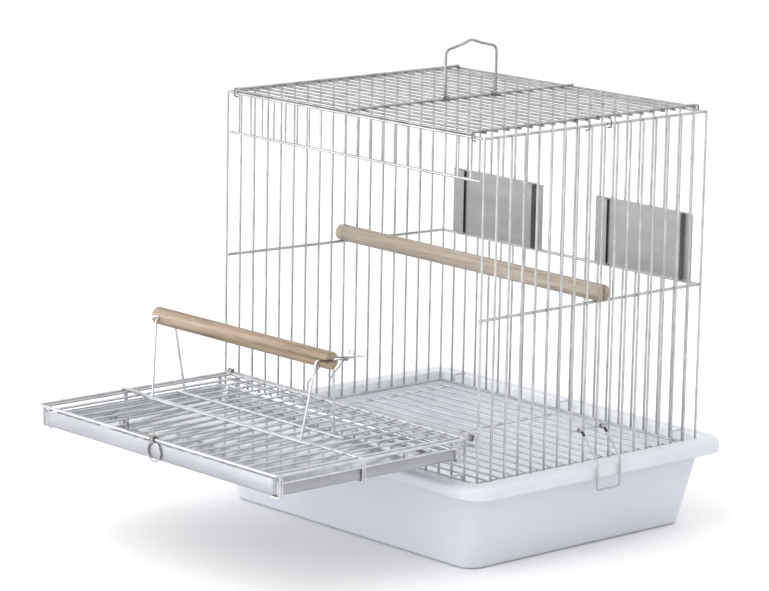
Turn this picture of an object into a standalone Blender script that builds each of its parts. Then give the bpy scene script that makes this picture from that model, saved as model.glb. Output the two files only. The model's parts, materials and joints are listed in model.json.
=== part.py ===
"""Wire bird cage standing in a plastic base tray, its front folded down as a stage.

Lengths are written in millimetres and turned into metres when the meshes are made.
X runs along the front, the front faces -Y, +Z is up, and Z = 0 is the underside of the tray.
"""

import math

import bmesh
import bpy
from mathutils import Matrix, Vector

MM = 0.001

# ---- fits -------------------------------------------------------------------
GAP = 0.3  # air left between two pieces that touch
BITE = 0.5  # how far two fused wires run into each other
RUN_FIT = 0.35  # clearance of an eye that turns on a wire

# ---- wires ------------------------------------------------------------------
THIN = 0.9  # half thickness of the upright wires
THICK = 1.2  # half thickness of the rails
ROUND_SIDES = 6

# ---- cage -------------------------------------------------------------------
HALF_W = 165.0
HALF_D = 131.3
GAPS_X = 21
GAPS_Y = 17
GAPS_TOP = 20
PITCH_X = 2 * HALF_W / GAPS_X
PITCH_Y = 2 * HALF_D / GAPS_Y
PITCH_TOP = 2 * HALF_D / GAPS_TOP

# ---- tray -------------------------------------------------------------------
TRAY_H = 79.0
SHEET = 2.2
RIM_X = 187.0
RIM_Y = 153.5
RIM_R = 24.0
LIP_DROP = 11.5
WALL_X = 172.0
WALL_Y = 140.5
WALL_R = 14.0
FOOT_X = 157.0
FOOT_Y = 130.0
FOOT_R = 16.0
OPEN_X = WALL_X - SHEET - 1.0
OPEN_Y = WALL_Y - SHEET - 1.0
OPEN_R = WALL_R - SHEET - 1.0
CORNER_STEPS = 5

# ---- heights ----------------------------------------------------------------
Z_FOOT = 70.3
Z_LOW_RAIL = Z_FOOT + THICK
Z_BAND_RAIL = 108.8
Z_HINGE = 115.3
Z_MID_RAIL = 215.2
MID_RISE = 6.0
Z_FEED_TOP = 275.0
Z_HEAD_RAIL = 331.5
Z_TOP_RAIL = 367.0
Z_WALL_TOP = Z_TOP_RAIL + THICK
Z_TOP_WIRE = Z_WALL_TOP + GAP + THIN
Z_TOP_RIB = Z_TOP_WIRE + THIN + THICK - BITE
RAIL_IN = THIN + THICK - BITE
SIDE_RAIL_X = HALF_W - RAIL_IN
BACK_RAIL_Y = HALF_D - RAIL_IN
CROSS_X = SIDE_RAIL_X - THICK - GAP
TOP_HALF_X = 153.0
TOP_RIB_X = 149.5

# ---- floor grating ----------------------------------------------------------
GRATE_Z = Z_FOOT + THIN
GRATE_HALF_X = 149.0
GRATE_CROSS_X = (-9 * PITCH_X, 0.0, 9 * PITCH_X)
GRATE_ARM_Z = TRAY_H + GAP + THIN
GRATE_POST_Y = HALF_D - 2 * RAIL_IN - THICK - GAP
GRATE_REACH = OPEN_Y + 4.0

# ---- feeders ----------------------------------------------------------------
FEED_CUT = 6
FEED_FRAME_X = 6 * PITCH_X
FEED_CENTRES = {"left": -88.5, "right": 97.5}
FEED_HALF = 59.0
FEED_Z0 = Z_MID_RAIL + THICK + GAP
FEED_Z1 = Z_FEED_TOP + 1.0
LEAF = 0.8
FLANGE = 10.0
LIP_COVER = 8.0
CHANNEL_DEPTH = 5.2
CHANNEL_Y = BACK_RAIL_Y - THICK - 0.5
PLATE_FIT = 0.6

# ---- handle -----------------------------------------------------------------
HANDLE_Y0 = -2 * PITCH_TOP + 2.8
HANDLE_Y1 = 3 * PITCH_TOP - 2.5
HANDLE_RISE = 43.0
HANDLE_PEAK = 50.5
EYE_LEN = 6.5
EYE_SHIFT = 2.0
EYE_WALL = 1.25

# ---- stage door -------------------------------------------------------------
DOOR_X = 157.0
DOOR_LEN = 211.5
DOOR_Y1 = -HALF_D - DOOR_LEN
DOOR_Y0 = -HALF_D - 6.0
CROSS_Y = -250.0
HINGE_EYE_R = THICK * math.sqrt(2) + GAP
HINGE_EYE_WALL = 1.2
GUIDE_Z = Z_BAND_RAIL
GUIDE_Y0 = -HALF_D - THICK - GAP - THIN
GUIDE_FRONT = DOOR_Y1 + 7.0
HOOK_Y = (-HALF_D - 13.0, CROSS_Y, DOOR_Y1 + 5.0)
HOOK_FOOT = 10.0
CATCH_X = -35.0
CATCH_RISE = 13.0

# ---- stage pan --------------------------------------------------------------
PAN_X = DOOR_X - THIN - 0.6
PAN_Y0 = DOOR_Y1 + 1.6
PAN_Y1 = -HALF_D - 9.5
PAN_Z0 = 97.6
PAN_RIM = 106.9
PAN_FRONT = 111.8
PAN_R = 10.0
PAN_CURVE = 2.0
TIN = 1.0

# ---- perches ----------------------------------------------------------------
PERCH_R = 7.5
PERCH_SIDES = 20
SLOT = 3.0
SLOT_DEEP = 12.0
STAND_R = 1.1
STAND_Z = Z_HINGE + THIN + GAP + STAND_R
STAND_TOP = 186.4
STAND_Y = -241.0
STAND_SPREAD = 9.5
STAND_FRONT = -259.0
STAND_BACK = -223.0
STAND_LEFT = -114.0
STAND_RIGHT = 96.5
STAND_HOOK_X = -DOOR_X - THICK - GAP - STAND_R
STAND_HOOK_Y = CROSS_Y - 2.6
STAGE_PERCH_X0 = STAND_LEFT - 10.0
STAGE_PERCH_X1 = STAND_RIGHT + 9.0
PERCH_OVER = 4.5
PERCH_ROW_L = 9
PERCH_ROW_R = 9
PERCH_CUT = 1.5

# ---- latches ----------------------------------------------------------------
RING_R = 8.2
RING_WIRE = 0.8
RING_STEM = 11.0
LATCH_Z = 106.5
LATCH_BAR = 0.8
LATCH_BAR_X = HALF_W + THIN + LATCH_BAR - 0.3
LATCH_Y = 13.5
LATCH_X = RIM_X + 2.0
LATCH_LOW = 58.0

COLOURS = {
    "plastic": (0.80, 0.81, 0.86, 1.0),
    "wire": (0.72, 0.73, 0.74, 1.0),
    "tin": (0.55, 0.57, 0.58, 1.0),
    "wood": (0.62, 0.45, 0.28, 1.0),
}


# ---- meshes -----------------------------------------------------------------
def add_box(bm, x, y, z):
    """A box between the three (low, high) pairs, added to bm."""
    corners = [(a, b, c) for a in x for b in y for c in z]
    verts = [bm.verts.new(corner) for corner in corners]
    for face in ((0, 1, 3, 2), (4, 6, 7, 5), (0, 4, 5, 1), (2, 3, 7, 6), (0, 2, 6, 4), (1, 5, 7, 3)):
        bm.faces.new([verts[i] for i in face])


def boxes(rows):
    bm = bmesh.new()
    for row in rows:
        add_box(bm, *row)
    return bm


def around(centre, half):
    return (centre - half, centre + half)


def add_loops(bm, loops, cyclic=False):
    """Skins a list of loops with equal point counts; the ends are capped unless cyclic."""
    rings = [[bm.verts.new(p) for p in loop] for loop in loops]
    count = len(rings[0])
    last = len(rings) if cyclic else len(rings) - 1
    for a in range(last):
        low = rings[a]
        high = rings[(a + 1) % len(rings)]
        for i in range(count):
            j = (i + 1) % count
            bm.faces.new((low[i], low[j], high[j], high[i]))
    if not cyclic:
        bm.faces.new(list(reversed(rings[0])))
        bm.faces.new(rings[-1])


def circle(centre, side, up, radius, sides, turn=0.5):
    points = []
    for k in range(sides):
        angle = 2 * math.pi * (k + turn) / sides
        points.append(centre + side * (radius * math.cos(angle)) + up * (radius * math.sin(angle)))
    return points


def add_tube(bm, path, radius, sides=ROUND_SIDES):
    """A wire of constant radius along a polyline, mitred at its bends."""
    points = [Vector(p) for p in path]
    steps = [(b - a).normalized() for a, b in zip(points, points[1:])]
    side = steps[0].orthogonal().normalized()
    loops = []
    for i, point in enumerate(points):
        before = steps[max(i - 1, 0)]
        after = steps[min(i, len(steps) - 1)]
        normal = (before + after).normalized()
        if i == 0:
            loop = circle(point, side, before.cross(side), radius, sides)
        else:
            loop = []
            for corner in loops[-1]:
                distance = (point - corner).dot(normal) / before.dot(normal)
                loop.append(corner + before * distance)
        loops.append(loop)
    add_loops(bm, loops)


def add_ring(bm, centre, side, up, radius, wire, steps=16, sides=ROUND_SIDES):
    centre = Vector(centre)
    side = Vector(side)
    up = Vector(up)
    axis = side.cross(up)
    loops = []
    for k in range(steps):
        angle = 2 * math.pi * k / steps
        out = side * math.cos(angle) + up * math.sin(angle)
        loops.append(circle(centre + out * radius, out, axis, wire, sides))
    add_loops(bm, loops, cyclic=True)


def add_sleeve(bm, centre, axis, inner, outer, length, sides=12):
    """A short tube with an open bore along axis."""
    axis = Vector(axis)
    side = axis.orthogonal().normalized()
    up = axis.cross(side)
    low = Vector(centre) - axis * (length / 2)
    high = Vector(centre) + axis * (length / 2)
    loops = []
    for end, radius in ((low, inner), (high, inner), (high, outer), (low, outer)):
        loops.append(circle(end, side, up, radius, sides))
    add_loops(bm, loops, cyclic=True)


def rounded(half_x, half_y, radius, z, centre=(0.0, 0.0), steps=CORNER_STEPS):
    points = []
    for corner in range(4):
        sx = 1 if corner in (0, 3) else -1
        sy = 1 if corner in (0, 1) else -1
        cx = centre[0] + sx * (half_x - radius)
        cy = centre[1] + sy * (half_y - radius)
        for k in range(steps + 1):
            angle = math.pi / 2 * (corner + k / steps)
            points.append(Vector((cx + radius * math.cos(angle), cy + radius * math.sin(angle), z)))
    return points


def to_object(name, bm):
    bmesh.ops.recalc_face_normals(bm, faces=bm.faces)
    for vert in bm.verts:
        vert.co *= MM
    mesh = bpy.data.meshes.new(name)
    bm.to_mesh(mesh)
    bm.free()
    obj = bpy.data.objects.new(name, mesh)
    bpy.context.scene.collection.objects.link(obj)
    return obj


def combine(name, first, others, operation="UNION"):
    """Applies one exact boolean per mesh in others to first, and keeps the result."""
    obj = to_object(name, first)
    for bm in others:
        tool = to_object(name + ".tool", bm)
        modifier = obj.modifiers.new("combine", "BOOLEAN")
        modifier.operation = operation
        modifier.solver = "EXACT"
        modifier.object = tool
        bpy.context.view_layer.update()
        evaluated = obj.evaluated_get(bpy.context.evaluated_depsgraph_get())
        mesh = bpy.data.meshes.new_from_object(evaluated)
        obj.modifiers.clear()
        old = obj.data
        obj.data = mesh
        mesh.name = name
        bpy.data.meshes.remove(old)
        bpy.data.objects.remove(tool)
    return obj


def finish(obj, look, pivot=(0.0, 0.0, 0.0)):
    """Cleans the mesh, gives it its material and puts the object's origin on its pivot."""
    bm = bmesh.new()
    bm.from_mesh(obj.data)
    bmesh.ops.remove_doubles(bm, verts=bm.verts, dist=0.00001)
    bmesh.ops.dissolve_degenerate(bm, edges=bm.edges, dist=0.00001)
    bmesh.ops.recalc_face_normals(bm, faces=bm.faces)
    offset = Vector(pivot) * MM
    bmesh.ops.translate(bm, verts=bm.verts, vec=-offset)
    bm.to_mesh(obj.data)
    bm.free()
    obj.matrix_world = Matrix.Translation(offset)
    material = bpy.data.materials.new(obj.name + "_material")
    material.use_nodes = True
    shader = material.node_tree.nodes["Principled BSDF"]
    shader.inputs["Base Color"].default_value = COLOURS[look]
    shader.inputs["Roughness"].default_value = 0.45
    shader.inputs["Metallic"].default_value = 0.0 if look in ("plastic", "wood") else 0.8
    obj.data.materials.clear()
    obj.data.materials.append(material)
    return obj


# ---- wire positions ---------------------------------------------------------
def wire_x(i):
    return -HALF_W + i * PITCH_X


def wire_y(j):
    return -HALF_D + j * PITCH_Y


def mid_rise(side, y):
    """The left wall's middle rail climbs towards the front; the right one is level."""
    return MID_RISE * (HALF_D - y) / (2 * HALF_D) if side < 0 else 0.0


# ---- tray -------------------------------------------------------------------
def make_base_tray():
    rim_low = TRAY_H - SHEET
    lip_low = TRAY_H - LIP_DROP
    loops = [
        rounded(FOOT_X - 3.5, FOOT_Y - 3.5, FOOT_R - 3.5, 0.0),
        rounded(FOOT_X, FOOT_Y, FOOT_R, 3.5),
        rounded(WALL_X, WALL_Y, WALL_R, rim_low),
        rounded(RIM_X - SHEET, RIM_Y - SHEET, RIM_R - SHEET, rim_low),
        rounded(RIM_X - SHEET, RIM_Y - SHEET, RIM_R - SHEET, lip_low),
        rounded(RIM_X, RIM_Y, RIM_R, lip_low),
        rounded(RIM_X, RIM_Y, RIM_R, TRAY_H - 1.5),
        rounded(RIM_X - 1.5, RIM_Y - 1.5, RIM_R - 1.5, TRAY_H),
        rounded(OPEN_X, OPEN_Y, OPEN_R, TRAY_H),
        rounded(OPEN_X, OPEN_Y, OPEN_R, rim_low),
        rounded(WALL_X - SHEET, WALL_Y - SHEET, WALL_R - SHEET, rim_low),
        rounded(FOOT_X - SHEET, FOOT_Y - SHEET, FOOT_R - SHEET, 3.5 + SHEET),
        rounded(FOOT_X - SHEET - 3.5, FOOT_Y - SHEET - 3.5, FOOT_R - SHEET - 3.5, SHEET),
    ]
    bm = bmesh.new()
    add_loops(bm, loops)
    return finish(to_object("base_tray", bm), "plastic")


def make_floor_grating():
    rows = [wire_y(j) for j in range(1, GAPS_Y)]
    long_wires = boxes([(around(0, GRATE_HALF_X), around(y, THIN), around(GRATE_Z, THIN)) for y in rows])
    cross_z = GRATE_Z - 2 * THIN + BITE
    cross = []
    posts = []
    arms = []
    for x in GRATE_CROSS_X:
        cross.append((around(x, THIN), around(0, GRATE_POST_Y + THIN), around(cross_z, THIN)))
        for side in (-1, 1):
            arm = sorted((side * (GRATE_POST_Y - THIN), side * GRATE_REACH))
            posts.append((around(x, THIN), around(side * GRATE_POST_Y, THIN), (cross_z - THIN, GRATE_ARM_Z + THIN)))
            arms.append((around(x, THIN), arm, around(GRATE_ARM_Z, THIN)))
    obj = combine("floor_grating", long_wires, [boxes(cross), boxes(posts), boxes(arms)])
    return finish(obj, "wire")


# ---- walls ------------------------------------------------------------------
def make_side_wall(name, side):
    x = side * HALF_W
    uprights = [(around(x, THIN), around(wire_y(j), THIN), (Z_FOOT, Z_WALL_TOP)) for j in range(GAPS_Y + 1)]
    long_y = around(0, HALF_D + THIN)
    rails = []
    for z in (Z_LOW_RAIL, Z_TOP_RAIL):
        rails.append((around(side * SIDE_RAIL_X, THICK), long_y, around(z, THICK)))
    bar_y = around(0, 1.5 * PITCH_Y + THIN)
    rails.append((around(side * LATCH_BAR_X, LATCH_BAR), bar_y, around(LATCH_Z, LATCH_BAR)))
    middle = boxes([(around(side * SIDE_RAIL_X, THICK), long_y, around(Z_MID_RAIL, THICK))])
    for vert in middle.verts:
        vert.co.z += mid_rise(side, vert.co.y)
    return finish(combine(name, boxes(uprights), [boxes(rails), middle]), "wire")


def feeder_wires(i):
    """True for an upright of the back wall that stops at a feeder opening."""
    first = 2
    return first <= i < first + FEED_CUT or first <= GAPS_X - i < first + FEED_CUT


def make_wall_back_lower():
    top = Z_MID_RAIL + THICK
    uprights = [(around(wire_x(i), THIN), around(HALF_D, THIN), (Z_FOOT, top)) for i in range(1, GAPS_X)]
    rail_y = around(BACK_RAIL_Y, THICK)
    rails = [(around(0, CROSS_X), rail_y, around(z, THICK)) for z in (Z_LOW_RAIL, Z_MID_RAIL)]
    return finish(combine("wall_back_lower", boxes(uprights), [boxes(rails)]), "wire")


def make_wall_back_upper():
    """The back wall above its middle rail, open at the two feeder doors."""
    foot = Z_MID_RAIL + THICK + GAP
    uprights = []
    for i in range(1, GAPS_X):
        low = Z_FEED_TOP - THICK if feeder_wires(i) else foot
        uprights.append((around(wire_x(i), THIN), around(HALF_D, THIN), (low, Z_WALL_TOP)))
    rail_y = around(BACK_RAIL_Y, THICK)
    half = 3.5 * PITCH_X + THIN
    rails = [(around(0, CROSS_X), rail_y, around(Z_TOP_RAIL, THICK))]
    for side in (-1, 1):
        rails.append((around(side * FEED_FRAME_X, half), rail_y, around(Z_FEED_TOP, THICK)))
    return finish(combine("wall_back_upper", boxes(uprights), [boxes(rails)]), "wire")


def make_front_strip(name, rails, z0, z1):
    uprights = [(around(wire_x(i), THIN), around(-HALF_D, THIN), (z0, z1)) for i in range(1, GAPS_X)]
    bars = [(around(0, CROSS_X), around(-HALF_D, THICK), around(z, THICK)) for z in rails]
    return finish(combine(name, boxes(uprights), [boxes(bars)]), "wire")


def make_top_panel():
    wires = []
    for j in range(GAPS_TOP + 1):
        y = -HALF_D + j * PITCH_TOP
        wires.append((around(0, TOP_HALF_X), around(y, THIN), around(Z_TOP_WIRE, THIN)))
    end = HALF_D + 1.5
    ribs = boxes([(around(x, THICK), around(0, end), around(Z_TOP_RIB, THICK)) for x in (-TOP_RIB_X, TOP_RIB_X)])
    middle = bmesh.new()
    add_tube(middle, ((0, -end, Z_TOP_RIB), (0, end, Z_TOP_RIB)), THICK, sides=8)
    return finish(combine("top_panel", boxes(wires), [ribs, middle]), "wire")


# ---- feeder doors -----------------------------------------------------------
def make_feeder_channel(name, centre, side):
    """A folded guide; side says on which side of the opening's centre it stands."""
    outer = centre + side * FEED_HALF
    web = outer - side * FLANGE
    tip = web - side * LIP_COVER
    back = (CHANNEL_Y - LEAF, CHANNEL_Y)
    front = (CHANNEL_Y - CHANNEL_DEPTH, CHANNEL_Y - CHANNEL_DEPTH + LEAF)
    tall = (FEED_Z0, FEED_Z1)
    flange = boxes([(sorted((outer, web - side * LEAF)), back, tall)])
    middle = boxes([(sorted((web, web - side * LEAF)), (front[0], back[1]), tall)])
    cover = boxes([(sorted((web, tip)), front, tall)])
    shelf = boxes([(sorted((web, tip)), (front[0], back[1]), (FEED_Z0, FEED_Z0 + LEAF))])
    return finish(combine(name, flange, [middle, cover, shelf]), "tin")


def make_feeder_plate(name, centre):
    half = FEED_HALF - FLANGE - LEAF - PLATE_FIT
    y = CHANNEL_Y - CHANNEL_DEPTH / 2
    z0 = FEED_Z0 + LEAF + GAP
    bm = boxes([(around(centre, half), around(y, LEAF / 2), (z0, FEED_Z1))])
    return finish(to_object(name, bm), "tin", (centre, y, z0))


# ---- handle -----------------------------------------------------------------
def make_handle():
    inner = THICK + RUN_FIT
    outer = inner + EYE_WALL
    base = Z_TOP_RIB + inner + 0.4
    middle = (HANDLE_Y0 + HANDLE_Y1) / 2
    rise = Z_TOP_RIB + HANDLE_RISE
    path = [
        (0, HANDLE_Y0, base),
        (0, HANDLE_Y0, rise - 3),
        (0, HANDLE_Y0 + 3, rise),
        (0, middle - 9, rise + 4),
        (0, middle, Z_TOP_RIB + HANDLE_PEAK),
        (0, middle + 9, rise + 4),
        (0, HANDLE_Y1 - 3, rise),
        (0, HANDLE_Y1, rise - 3),
        (0, HANDLE_Y1, base),
    ]
    bail = bmesh.new()
    add_tube(bail, path, THICK)
    eyes = bmesh.new()
    for y in (HANDLE_Y0 + EYE_SHIFT, HANDLE_Y1 - EYE_SHIFT):
        add_sleeve(eyes, (0, y, Z_TOP_RIB), (0, 1, 0), inner, outer, EYE_LEN)
    return finish(combine("handle", bail, [eyes]), "wire", (0, middle, Z_TOP_RIB))


# ---- stage door -------------------------------------------------------------
def make_door_grid():
    """The folded-down front: rails, floor wires, guide wire round the pan and the hooks under it."""
    z = around(Z_HINGE, THICK)
    start = -HALF_D - HINGE_EYE_R - 0.7
    sides = [(around(s * DOOR_X, THICK), (DOOR_Y1 - THICK, start), z) for s in (-1, 1)]
    cross = [(around(0, DOOR_X), around(y, THICK), z) for y in (DOOR_Y1, CROSS_Y, DOOR_Y0)]
    wires = []
    for i in range(1, GAPS_X):
        wires.append((around(wire_x(i), THIN), (DOOR_Y1, DOOR_Y0), around(Z_HINGE, THIN)))
    guide = [(around(0, DOOR_X + THIN), around(GUIDE_Y0, THIN), around(GUIDE_Z, THIN))]
    guide_ends = []
    low = PAN_Z0 - GAP - 2 * THIN
    posts = []
    feet = []
    for s in (-1, 1):
        guide_ends.append((around(s * DOOR_X, THIN), (GUIDE_FRONT, GUIDE_Y0), around(GUIDE_Z, THIN)))
        for y in HOOK_Y:
            posts.append((around(s * DOOR_X, THIN), around(y, THIN), (low, Z_HINGE)))
            foot = sorted((s * (DOOR_X + THIN), s * (DOOR_X - HOOK_FOOT)))
            feet.append((foot, around(y, THIN), (low, low + 2 * THIN)))
    posts.append((around(CATCH_X, THIN), around(DOOR_Y1, THIN), (Z_HINGE, Z_HINGE + CATCH_RISE)))
    eyes = bmesh.new()
    for s in (-1, 1):
        centre = (s * DOOR_X, -HALF_D, Z_HINGE)
        add_sleeve(eyes, centre, (1, 0, 0), HINGE_EYE_R, HINGE_EYE_R + HINGE_EYE_WALL, 2 * THICK + 2)
    groups = [boxes(cross), boxes(wires), boxes(guide), boxes(guide_ends), boxes(posts), boxes(feet), eyes]
    return finish(combine("door_grid", boxes(sides), groups), "wire", (0, -HALF_D, Z_HINGE))


def make_stage_pan():
    """A shallow sheet pan under the door's wires; its front wall stands taller than the others."""
    centre = (0.0, (PAN_Y0 + PAN_Y1) / 2)
    half_y = (PAN_Y1 - PAN_Y0) / 2
    ramp = PAN_Y0 + PAN_R

    def loop(inset, z):
        return rounded(PAN_X - inset, half_y - inset, PAN_R - inset, z, centre, 4)

    def rim(inset):
        points = loop(inset, PAN_RIM)
        for outer, point in zip(loop(0.0, 0.0), points):
            share = min(max((ramp - outer.y) / PAN_R, 0.0), 1.0)
            point.z += share * (PAN_FRONT - PAN_RIM)
        return points

    bm = bmesh.new()
    add_loops(bm, [
        loop(PAN_CURVE, PAN_Z0),
        loop(0.0, PAN_Z0 + PAN_CURVE),
        rim(0.0),
        rim(TIN),
        loop(TIN, PAN_Z0 + PAN_CURVE),
        loop(TIN + PAN_CURVE - TIN / 2, PAN_Z0 + TIN),
    ])
    return finish(to_object("stage_pan", bm), "tin", (0, -HALF_D, Z_HINGE))


def make_perch_stand():
    front = bmesh.new()
    add_tube(front, (
        (STAND_HOOK_X, STAND_HOOK_Y, Z_HINGE - 4.0),
        (STAND_HOOK_X, STAND_HOOK_Y, STAND_Z),
        (STAND_LEFT - 20.0, STAND_HOOK_Y, STAND_Z),
        (STAND_LEFT + 2.0, STAND_FRONT, STAND_Z),
        (STAND_RIGHT + 4.0, STAND_FRONT, STAND_Z),
    ), STAND_R)
    back = bmesh.new()
    add_tube(back, ((STAND_LEFT - 4.0, STAND_BACK, STAND_Z), (STAND_RIGHT + 4.0, STAND_BACK, STAND_Z)), STAND_R)
    legs = bmesh.new()
    for x, lean in ((STAND_LEFT, 6.0), (STAND_RIGHT, -8.0)):
        add_tube(legs, (
            (x + lean, STAND_FRONT, STAND_Z),
            (x, STAND_Y - STAND_SPREAD, STAND_TOP),
            (x, STAND_Y + STAND_SPREAD, STAND_TOP),
            (x + lean, STAND_BACK, STAND_Z),
        ), STAND_R)
    tail = bmesh.new()
    tail_y = STAND_Y + STAND_SPREAD
    tip = (STAND_RIGHT + 38.0, tail_y, STAND_TOP + 8.0)
    add_tube(tail, ((STAND_RIGHT, tail_y, STAND_TOP), tip), 0.8)
    loop = bmesh.new()
    add_ring(loop, (STAND_RIGHT + 22.0, tail_y, STAND_TOP + 7.3), (1, 0, 0), (0, 0, 1), 2.9, 0.7, 12)
    obj = combine("perch_stand", front, [back, legs, tail, loop])
    return finish(obj, "wire", (0, -HALF_D, Z_HINGE))


def make_perch(name, start, end, slot_axis, pivot, seat=0.0):
    """A turned stick with a slot across each end; slot_axis is the long way of the slot.

    With a seat, a notch of that depth below each end sits over a wall's rail.
    """
    start = Vector(start)
    end = Vector(end)
    along = (end - start).normalized()
    across = Vector(slot_axis)
    third = along.cross(across).normalized()
    stick = bmesh.new()
    loops = []
    for point, radius in ((start, 0.9), (start + along, 1.0), (end - along, 1.0), (end, 0.9)):
        loops.append(circle(point, across, third, PERCH_R * radius, PERCH_SIDES))
    add_loops(stick, loops)
    cuts = bmesh.new()
    notches = bmesh.new()
    for tip, inward in ((start, along), (end, -along)):
        frame = Matrix((inward, across, third)).transposed().to_4x4()
        frame.translation = tip
        cut = boxes([((-3.0, SLOT_DEEP), around(0, PERCH_R + 3.0), around(0, SLOT / 2))])
        add_moved(cuts, cut, frame)
        rail = PERCH_OVER + RAIL_IN
        low = -PERCH_R - 3.0
        notch = boxes([(around(rail, THICK + 0.7), (low, seat - PERCH_R), around(0, PERCH_R + 3.0))])
        add_moved(notches, notch, frame)
    tools = [cuts, notches] if seat else [cuts]
    return finish(combine(name, stick, tools, "DIFFERENCE"), "wood", pivot)


def add_moved(target, bm, frame):
    """Adds bm, placed by frame, to target."""
    bm.transform(frame)
    mesh = bpy.data.meshes.new("moved")
    bm.to_mesh(mesh)
    bm.free()
    target.from_mesh(mesh)
    bpy.data.meshes.remove(mesh)


# ---- latches ----------------------------------------------------------------
def make_latch_ring():
    inner = HINGE_EYE_R
    outer = inner + 0.9
    pivot = (0, DOOR_Y1, Z_HINGE)
    eye = bmesh.new()
    add_sleeve(eye, pivot, (1, 0, 0), inner, outer, 5.0)
    ring = bmesh.new()
    drop = outer - 0.4 + RING_R
    add_ring(ring, (0, DOOR_Y1, Z_HINGE - drop), (1, 0, 0), (0, 0, 1), RING_R, RING_WIRE)
    stem = bmesh.new()
    add_tube(stem, ((0, DOOR_Y1, Z_HINGE + inner + 0.4), (0, DOOR_Y1, Z_HINGE + RING_STEM)), RING_WIRE)
    return finish(combine("latch_ring", eye, [ring, stem]), "wire", pivot)


def make_side_latch(name, side):
    inner = LATCH_BAR * math.sqrt(2) + RUN_FIT
    outer = inner + 1.0
    eye_x = side * LATCH_BAR_X
    start = side * (LATCH_BAR_X + inner + 0.5)
    shoulder = TRAY_H + 4.0
    path = [
        (start, -LATCH_Y, LATCH_Z - 0.6),
        (side * LATCH_X, -LATCH_Y, shoulder),
        (side * LATCH_X, -LATCH_Y, LATCH_LOW),
        (side * LATCH_X, LATCH_Y, LATCH_LOW),
        (side * LATCH_X, LATCH_Y, shoulder),
        (start, LATCH_Y, LATCH_Z - 0.6),
    ]
    loop = bmesh.new()
    add_tube(loop, path, THIN)
    eyes = bmesh.new()
    for y in (-LATCH_Y, LATCH_Y):
        add_sleeve(eyes, (eye_x, y, LATCH_Z), (0, 1, 0), inner, outer, 5.0)
    return finish(combine(name, loop, [eyes]), "wire", (eye_x, 0, LATCH_Z))


def main():
    for obj in list(bpy.data.objects):
        bpy.data.objects.remove(obj)
    make_base_tray()
    make_floor_grating()
    make_side_wall("wall_left", -1)
    make_side_wall("wall_right", 1)
    make_wall_back_lower()
    make_wall_back_upper()
    make_front_strip("header_band", (Z_HEAD_RAIL, Z_TOP_RAIL), Z_HEAD_RAIL, Z_TOP_RAIL)
    make_front_strip("front_band", (Z_LOW_RAIL, Z_BAND_RAIL, Z_HINGE), Z_FOOT, Z_HINGE)
    make_top_panel()
    for side, word in ((-1, "left"), (1, "right")):
        centre = FEED_CENTRES[word]
        make_feeder_channel("feeder_guide_" + word + "_outer", centre, side)
        make_feeder_channel("feeder_guide_" + word + "_inner", centre, -side)
        make_feeder_plate("feeder_plate_" + word, centre)
        make_side_latch("side_latch_" + word, side)
    make_handle()
    make_door_grid()
    make_stage_pan()
    make_perch_stand()
    hinge = (0, -HALF_D, Z_HINGE)
    low = (STAGE_PERCH_X0, STAND_Y, STAND_TOP)
    high = (STAGE_PERCH_X1, STAND_Y, STAND_TOP)
    make_perch("stage_perch", low, high, (0, 1, 0), hinge)
    ends = []
    for side, row in ((-1, PERCH_ROW_L), (1, PERCH_ROW_R)):
        y = wire_y(row)
        rest = Z_MID_RAIL + THICK + GAP + PERCH_R - PERCH_CUT
        ends.append(Vector((side * HALF_W, y, rest + mid_rise(side, y))))
    along = (ends[1] - ends[0]).normalized() * PERCH_OVER
    pivot = (ends[0] + ends[1]) / 2
    make_perch("interior_perch", ends[0] - along, ends[1] + along, (0, 0, 1), pivot, PERCH_CUT)
    make_latch_ring()


main()
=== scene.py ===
import json
import math

import bmesh
import bpy
from mathutils import Matrix, Vector


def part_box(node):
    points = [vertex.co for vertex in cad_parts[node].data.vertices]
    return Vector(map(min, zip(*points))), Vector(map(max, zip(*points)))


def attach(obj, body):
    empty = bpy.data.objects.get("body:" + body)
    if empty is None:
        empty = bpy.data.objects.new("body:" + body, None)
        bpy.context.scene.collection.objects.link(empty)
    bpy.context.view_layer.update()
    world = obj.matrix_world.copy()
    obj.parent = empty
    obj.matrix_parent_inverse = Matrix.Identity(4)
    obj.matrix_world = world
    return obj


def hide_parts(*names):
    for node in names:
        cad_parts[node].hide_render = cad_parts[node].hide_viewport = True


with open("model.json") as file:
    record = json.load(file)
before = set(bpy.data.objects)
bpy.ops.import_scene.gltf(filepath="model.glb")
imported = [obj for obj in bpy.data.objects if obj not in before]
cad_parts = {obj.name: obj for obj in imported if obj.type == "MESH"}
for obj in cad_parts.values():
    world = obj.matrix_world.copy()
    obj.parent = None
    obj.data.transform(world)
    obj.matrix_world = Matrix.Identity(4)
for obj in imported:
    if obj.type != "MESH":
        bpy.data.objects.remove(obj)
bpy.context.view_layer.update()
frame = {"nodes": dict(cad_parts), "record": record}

MM = 0.001  # every length below is in millimetres unless it says otherwise

# ---- camera -----------------------------------------------------------------
CAM_AZ = math.radians(48.03)
CAM_EL = math.radians(11.43)
CAM_ROLL = math.radians(1.03)
CAM_POS = (2.2715, -2.1330, 0.82305)  # metres
CAM_LENS = 168.82
CAM_SENSOR = 36.0
CAM_CLIP_END = 50.0  # metres


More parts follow.
